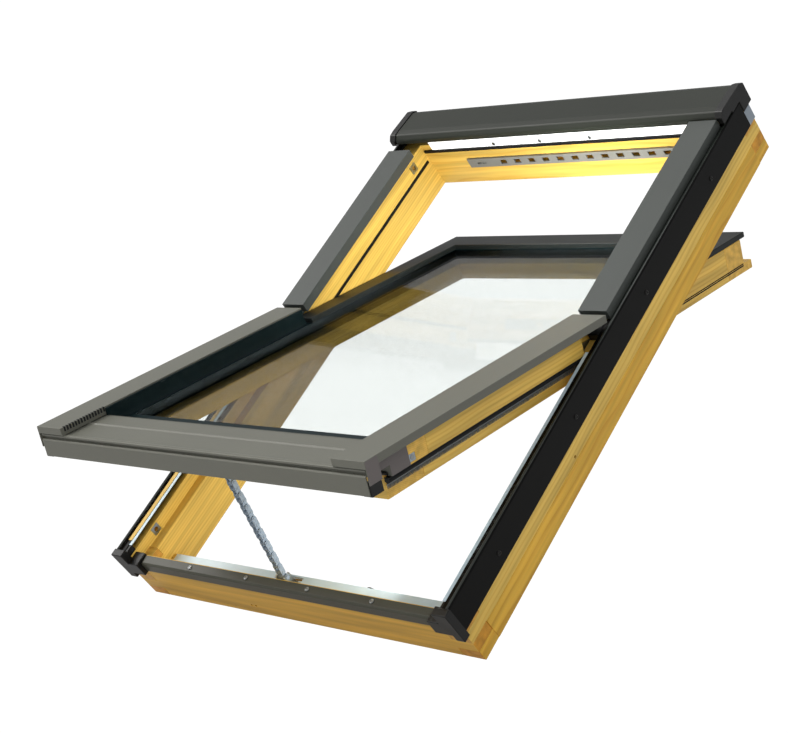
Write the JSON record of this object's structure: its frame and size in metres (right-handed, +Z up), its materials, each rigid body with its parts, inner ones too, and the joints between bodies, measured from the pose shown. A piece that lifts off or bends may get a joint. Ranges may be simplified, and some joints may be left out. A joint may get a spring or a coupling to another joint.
{
  "type": "roof skylight",
  "caption": "Centre-pivot timber roof window, grey metal covers, double glazing, push-chain opener in the bottom rail and a sliding air inlet, set at roof pitch.",
  "frame": {"origin": "middle of the bottom rail's room-side face", "axes": "+X across the window to its right as seen from outside, +Y level towards the ridge of the roof, +Z up; the window slopes at 45 degrees"},
  "size_m": [0.784, 1.0385, 0.8817],
  "materials": {
    "timber_frame": "clear lacquered pine",
    "timber_sash": "clear lacquered pine",
    "cover_black": "matt black coating",
    "cover_grey": "grey coating",
    "hood_grey": "grey coating",
    "plastic_black": "moulded",
    "flashing": "mill",
    "apron": "white coating",
    "rubber": "extruded",
    "edge_strip": "extruded",
    "inlet_plastic": "moulded",
    "steel": "zinc plated",
    "opener_alu": "anodised",
    "motor": "satin",
    "glass": "clear",
    "spacer": "satin"
  },
  "bodies": {
    "frame": {"frame_rail_bottom": "timber_frame", "frame_rail_top": "timber_frame", "frame_stile_left": "timber_frame", "frame_stile_right": "timber_frame", "side_cover_left": "cover_black", "side_cover_right": "cover_black", "upper_cover_left": "cover_grey", "upper_cover_right": "cover_grey", "bottom_cover": "cover_grey", "hood": "hood_grey", "hood_cap_left": "plastic_black", "hood_cap_right": "plastic_black", "corner_block_left": "plastic_black", "corner_block_right": "plastic_black", "hinge_caps": "plastic_black", "cable_gland": "plastic_black", "flashings": "flashing", "apron_strip": "apron", "top_seal": "rubber", "upper_seals": "rubber", "edge_strips": "edge_strip", "inlet_face": "inlet_plastic", "hinge_frame_left": "steel", "hinge_frame_right": "steel", "keepers": "steel", "frame_screws": "steel", "opener_sprocket": "steel", "opener_housing": "opener_alu", "opener_lid": "opener_alu", "opener_plate": "opener_alu", "opener_motor": "motor", "opener_gearbox": "motor"},
    "sash": {"sash_rail_bottom": "timber_sash", "sash_rail_top": "timber_sash", "sash_stile_left": "timber_sash", "sash_stile_right": "timber_sash", "sash_cover_left": "cover_grey", "sash_cover_right": "cover_grey", "sash_cover_bottom": "cover_grey", "sash_profile_upper": "hood_grey", "sash_end_caps": "plastic_black", "gasket_outer": "rubber", "gasket_inner": "rubber", "sash_seal": "rubber", "sash_brush": "rubber", "chain_bracket": "steel", "hinge_sash_left": "steel", "hinge_sash_right": "steel", "bolt_guides": "steel", "sash_screws": "steel", "pane_outer": "glass", "pane_inner": "glass", "pane_spacer": "spacer"},
    "chain": {"chain": "steel"},
    "inlet_shutter": {"inlet_shutter": "inlet_plastic"},
    "bolt_left": {"bolt_left": "steel"},
    "bolt_right": {"bolt_right": "steel"}
  },
  "joints": [
    {"name": "sash_pivot", "type": "hinge", "parent": "frame", "child": "sash", "pos_m": [0, 0.31466, 0.42497], "axis": [-1, 0, 0], "range_deg": [-26.85, 0], "deforming": ["chain"]},
    {"name": "chain_swing", "type": "hinge", "parent": "frame", "child": "chain", "pos_m": [-0.035, -0.03591, 0.05318], "axis": [-1, 0, 0], "range_deg": [-13.6, 0.2], "deforming": ["chain"]},
    {"name": "shutter_slide", "type": "slide", "parent": "frame", "child": "inlet_shutter", "axis": [1, 0, 0], "range_m": [0, 0.014]},
    {"name": "bolt_left_slide", "type": "slide", "parent": "sash", "child": "bolt_left", "axis": [-1, 0, 0], "range_m": [0, 0.012]},
    {"name": "bolt_right_slide", "type": "slide", "parent": "sash", "child": "bolt_right", "axis": [1, 0, 0], "range_m": [0, 0.012]}
  ],
  "couplings": [
    {"joint": "chain_swing", "follows": "sash_pivot", "ratio": 0.5}
  ]
}
